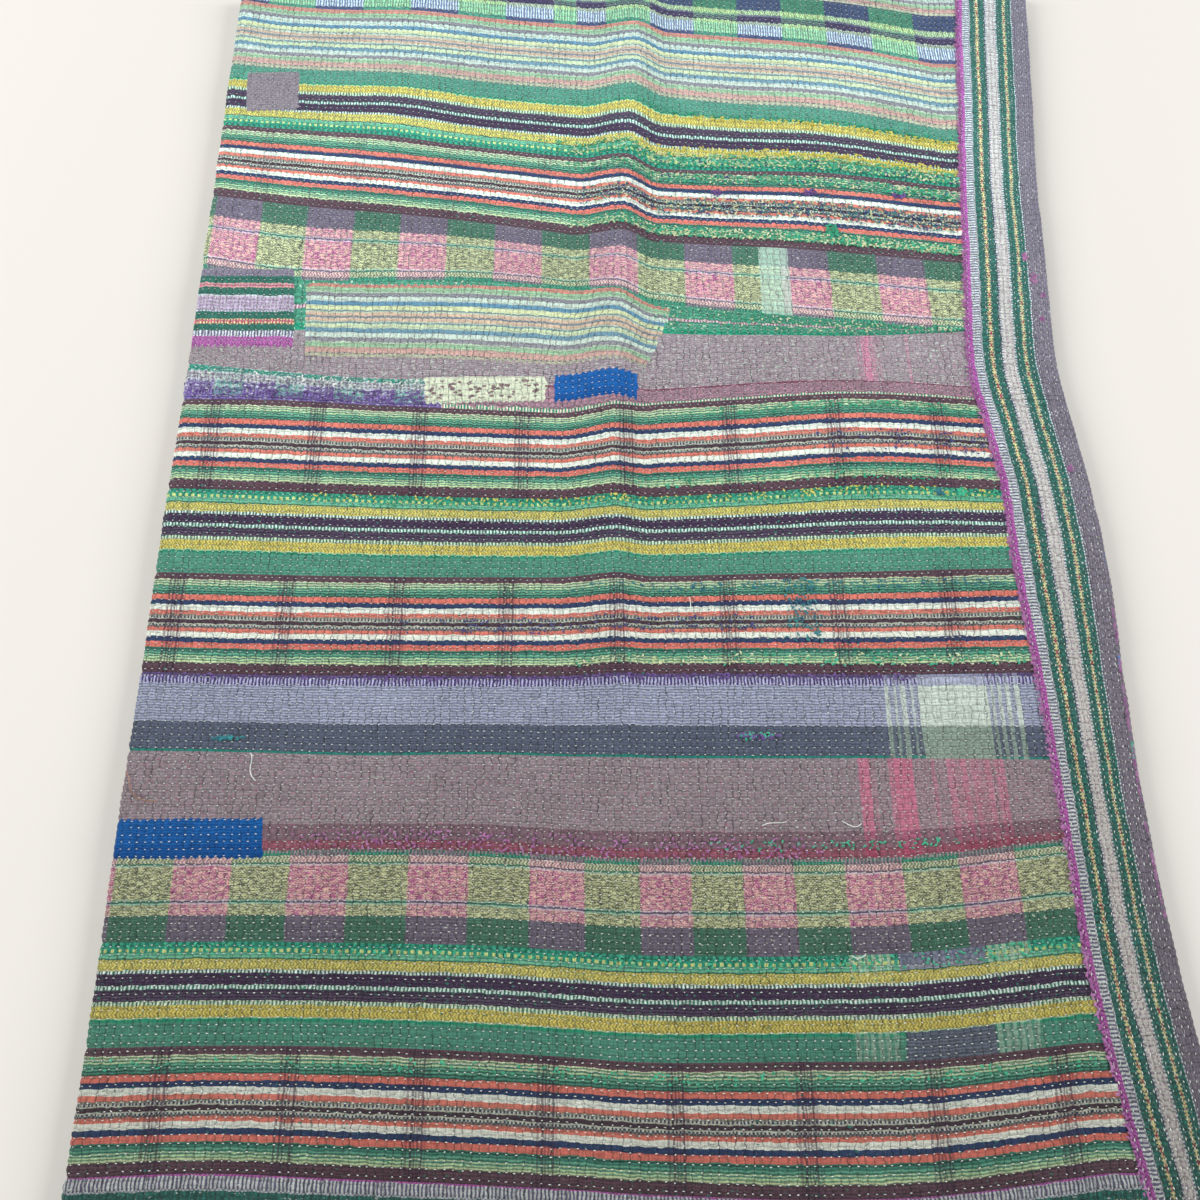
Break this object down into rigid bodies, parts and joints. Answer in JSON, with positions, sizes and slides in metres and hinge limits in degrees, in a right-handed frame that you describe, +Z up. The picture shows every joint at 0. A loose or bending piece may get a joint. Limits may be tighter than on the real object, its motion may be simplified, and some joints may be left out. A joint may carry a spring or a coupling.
{
  "type": "kantha quilt",
  "caption": "Old cotton kantha quilt folded in quarters and laid flat, with striped patchwork, sewn-on patches and border strips along its hems.",
  "frame": {"origin": "middle of the underside of the folded quilt, on the surface that it lies on", "axes": "+Z up; +Y along the length, from the foot hems to the crosswise fold; +X from the lengthwise fold to the side hems"},
  "size_m": [0.7998, 1.1508, 0.0335],
  "materials": {
    "quilt_cotton": "matt handwoven cotton, pieced in stripes and quilted",
    "border_cotton": "matt woven cotton border",
    "mauve_cotton": "matt woven cotton",
    "striped_cotton": "matt woven cotton",
    "spotted_cotton": "matt printed cotton",
    "blue_cotton": "matt woven cotton"
  },
  "bodies": {
    "root": {"kantha_quilt": "quilt_cotton", "side_border": "border_cotton", "foot_border": "border_cotton", "patch_mauve": "mauve_cotton", "patch_old_border": "border_cotton", "patch_fine_stripe": "striped_cotton", "patch_spotted": "spotted_cotton", "patch_blue_middle": "blue_cotton", "patch_blue_side": "blue_cotton"}
  },
  "joints": []
}
